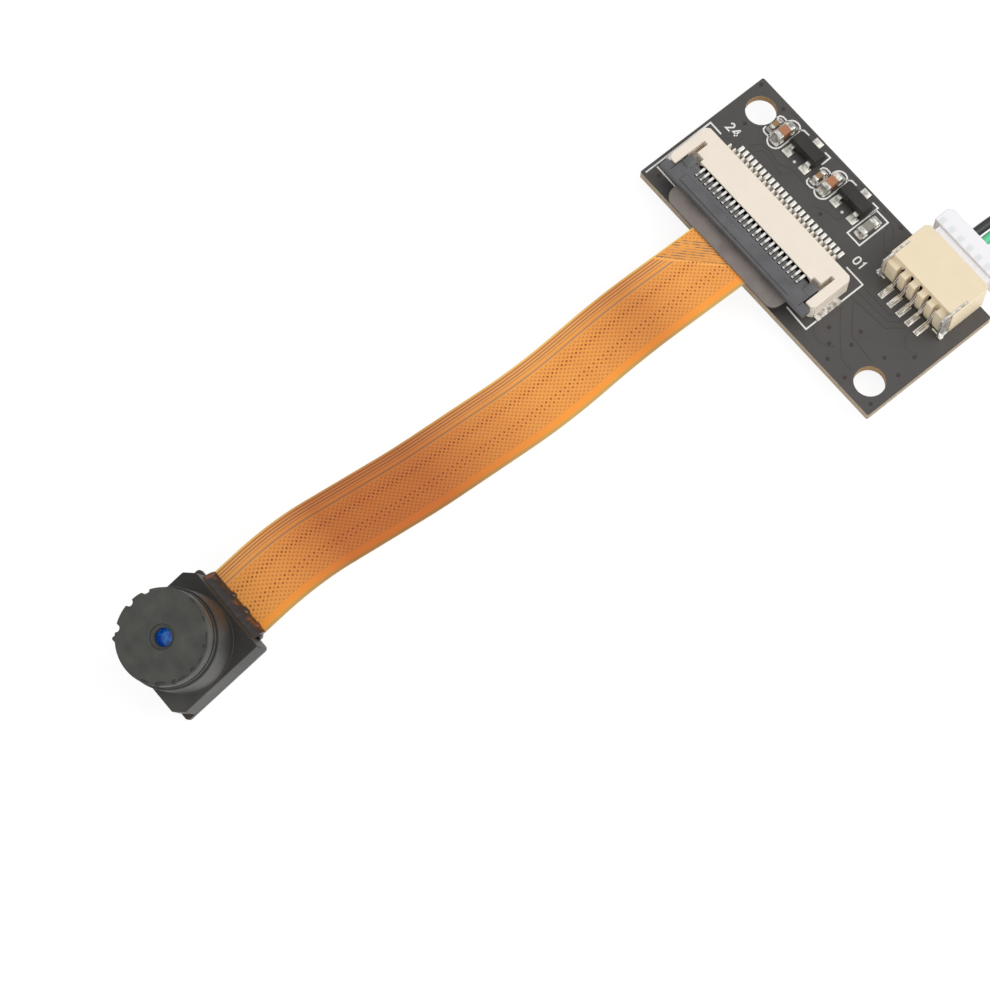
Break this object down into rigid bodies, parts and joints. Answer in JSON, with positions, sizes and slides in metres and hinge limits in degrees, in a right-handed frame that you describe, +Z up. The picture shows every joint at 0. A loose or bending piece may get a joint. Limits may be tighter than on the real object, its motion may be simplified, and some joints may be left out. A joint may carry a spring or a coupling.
{
  "type": "camera module",
  "caption": "Small camera module: square camera head on a flexible circuit, held by a flip-lock connector on a narrow circuit board with a plug-in cable.",
  "frame": {"origin": "Middle of the two mounting holes, on the board's underside.", "axes": "+X along the board's long side towards the cable socket, +Y from the camera head towards the cable, +Z up from the surface that the module lies on."},
  "size_m": [0.0354, 0.1756, 0.0101],
  "materials": {
    "board": "matt dark grey solder resist",
    "cream_plastic": "satin",
    "grey_plastic": "satin",
    "plated_metal": "bright tin plating",
    "polyimide": "satin",
    "stiffener_plastic": "matt",
    "gold_plating": "satin gold plating",
    "steel_plate": "satin",
    "silicon": "polished",
    "clear_glass": "polished",
    "filter_glass": "polished",
    "lens_glass": "coated",
    "black_plastic": "matt",
    "black_glue": "glossy",
    "brown_adhesive": "glossy",
    "tan_ceramic": "matt",
    "brown_ceramic": "matt",
    "resistor_film": "satin",
    "chip_moulding": "matt",
    "white_ceramic": "matt",
    "solder": "bright",
    "beige_plastic": "satin",
    "natural_plastic": "satin, slightly translucent",
    "insulation_black": "satin",
    "insulation_green": "satin",
    "insulation_white": "satin",
    "insulation_red": "satin",
    "cable_jacket": "satin",
    "shell_metal": "satin nickel",
    "white_plastic": "satin"
  },
  "bodies": {
    "module": {"circuit_board": "board", "connector_housing": "cream_plastic", "connector_contacts": "plated_metal", "connector_hold_downs": "plated_metal", "flexible_circuit": "polyimide", "flex_end_stiffener": "stiffener_plastic", "flex_contact_fingers": "gold_plating", "head_plate": "steel_plate", "image_sensor": "silicon", "sensor_cover_glass": "clear_glass", "sensor_capacitors": "tan_ceramic", "lens_holder": "black_plastic", "infrared_filter": "filter_glass", "lens_barrel": "black_plastic", "front_lens": "lens_glass", "middle_lens": "lens_glass", "rear_lens": "lens_glass", "lens_spacers": "black_plastic", "lens_retaining_ring": "black_plastic", "lens_lock_glue": "black_glue", "holder_adhesive": "brown_adhesive", "small_capacitor_bodies": "tan_ceramic", "small_capacitor_caps": "solder", "large_capacitor_bodies": "brown_ceramic", "large_capacitor_caps": "solder", "chip_resistor_bodies": "resistor_film", "chip_resistor_caps": "solder", "underside_capacitor_bodies": "tan_ceramic", "underside_capacitor_caps": "solder", "regulator_bodies": "chip_moulding", "regulator_leads": "plated_metal", "cable_socket_housing": "beige_plastic", "cable_socket_pins": "plated_metal", "cable_socket_tabs": "plated_metal", "cable_plug_housing": "natural_plastic", "cable_plug_terminals": "plated_metal", "wire_black": "insulation_black", "wire_green": "insulation_green", "wire_white": "insulation_white", "wire_red": "insulation_red", "cable_sleeve": "cable_jacket", "cable_coil": "cable_jacket", "cable_lead": "cable_jacket", "cable_tail": "cable_jacket", "cable_tie": "black_plastic", "host_plug_shell": "shell_metal", "host_plug_overmould": "cable_jacket", "host_plug_insulator": "white_plastic", "host_plug_contacts": "gold_plating", "controller_chip": "chip_moulding", "crystal_base": "white_ceramic", "crystal_can": "shell_metal", "memory_chip": "chip_moulding", "solder_pads": "solder"},
    "lock_bar": {"lock_bar": "grey_plastic"}
  },
  "joints": [
    {"name": "lock_bar_flip", "type": "hinge", "parent": "module", "child": "lock_bar", "pos_m": [-0.00385, -0.0034, 0.0023], "axis": [-1, 0, 0], "range_deg": [0, 95]}
  ]
}
